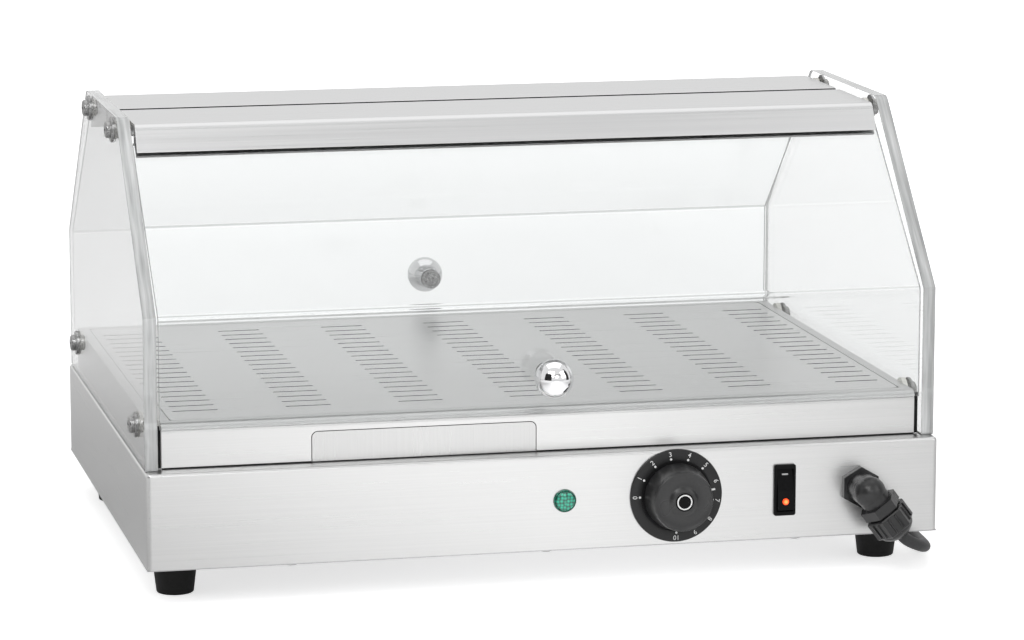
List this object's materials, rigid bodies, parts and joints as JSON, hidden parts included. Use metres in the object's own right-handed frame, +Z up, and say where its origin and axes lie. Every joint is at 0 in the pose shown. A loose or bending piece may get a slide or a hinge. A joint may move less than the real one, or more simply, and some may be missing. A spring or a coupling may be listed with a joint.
{
  "type": "heated display case",
  "caption": "Countertop heated display case: steel base with slotted deck, clear side panels, lift-up flaps front and rear, dial, switch, lamp and mains cord.",
  "frame": {"origin": "centre of the object's box at its underside, without the cord and gland, where the feet stand", "axes": "+X to the right seen from the controls, -Y to the front with the controls, +Z up"},
  "size_m": [0.5214, 0.5342, 0.287],
  "materials": {
    "stainless": "horizontally brushed stainless steel",
    "plain_steel": "plain sheet steel",
    "fastener": "bright stainless fasteners",
    "chrome": "polished chrome",
    "anodised": "satin anodised extrusion",
    "clear_sheet": "clear acrylic",
    "clear_panel": "clear acrylic, polished edges",
    "black_plastic": "black moulded plastic",
    "black_gloss": "black moulded plastic",
    "green_lens": "translucent green lens",
    "red_lens": "translucent red lens",
    "rubber": "black rubber",
    "element": "heat-tinted tube",
    "ceramic": "white ceramic",
    "copper": "copper",
    "brass": "nickel-plated brass",
    "pale_plastic": "natural nylon"
  },
  "bodies": {
    "base": {"base_casing": "stainless", "base_plate": "plain_steel", "base_plate_screws": "fastener", "foot_1": "rubber", "foot_2": "rubber", "foot_3": "rubber", "foot_4": "rubber", "foot_screws": "fastener", "deck_frame": "stainless", "pan_runner_left": "plain_steel", "pan_runner_right": "plain_steel", "heating_element_left": "element", "heating_element_right": "element", "element_bushes": "ceramic", "element_saddles": "plain_steel", "sensor_bulb": "copper", "bulb_clip": "plain_steel", "thermostat_body": "black_plastic", "dial_bezel": "black_plastic", "pilot_lens": "green_lens", "pilot_body": "black_plastic", "switch_frame": "black_gloss", "switch_body": "black_plastic", "gland_body": "black_plastic", "gland_nut": "black_plastic", "gland_seal": "rubber", "gland_locknut": "black_plastic", "inner_lead": "rubber", "terminal_block": "pale_plastic", "earth_stud": "brass", "side_panel_left": "clear_panel", "side_panel_right": "clear_panel", "panel_washers": "fastener", "panel_screws": "fastener", "panel_spacers": "pale_plastic", "rivet_nuts": "fastener", "pivot_washers": "fastener", "pivot_screws": "fastener", "pivot_spacers": "pale_plastic", "cord": "rubber", "cord_coil": "rubber", "cord_tail": "rubber", "coil_tie": "black_plastic", "plug_body": "black_plastic", "plug_pins": "brass"},
    "front_flap": {"flap_sheet_front": "clear_sheet", "flap_head_front": "anodised", "flap_knob_front": "chrome", "knob_screw_front": "fastener"},
    "rear_flap": {"flap_sheet_rear": "clear_sheet", "flap_head_rear": "anodised", "flap_knob_rear": "chrome", "knob_screw_rear": "fastener"},
    "dial": {"dial_knob": "black_plastic", "dial_cap": "black_gloss", "thermostat_shaft": "brass"},
    "rocker": {"switch_rocker": "black_gloss", "rocker_lamp": "red_lens"},
    "pan": {"water_pan": "stainless"},
    "tray": {"slotted_tray": "stainless"}
  },
  "joints": [
    {"name": "front_flap_hinge", "type": "hinge", "parent": "base", "child": "front_flap", "pos_m": [0, -0.054, 0.2775], "axis": [-1, 0, 0], "range_deg": [0, 95]},
    {"name": "rear_flap_hinge", "type": "hinge", "parent": "base", "child": "rear_flap", "pos_m": [0, 0.054, 0.2775], "axis": [1, 0, 0], "range_deg": [0, 95]},
    {"name": "dial_turn", "type": "hinge", "parent": "base", "child": "dial", "pos_m": [0.08, -0.205, 0.0563], "axis": [0, 1, 0], "range_deg": [0, 270]},
    {"name": "rocker_tilt", "type": "hinge", "parent": "base", "child": "rocker", "pos_m": [0.15, -0.1835, 0.0563], "axis": [1, 0, 0], "range_deg": [0, 14]},
    {"name": "pan_slide", "type": "slide", "parent": "base", "child": "pan", "axis": [0, -1, 0], "range_m": [0, 0.18]},
    {"name": "tray_lift", "type": "slide", "parent": "base", "child": "tray", "axis": [0, 0, 1], "range_m": [0, 0.04]}
  ]
}
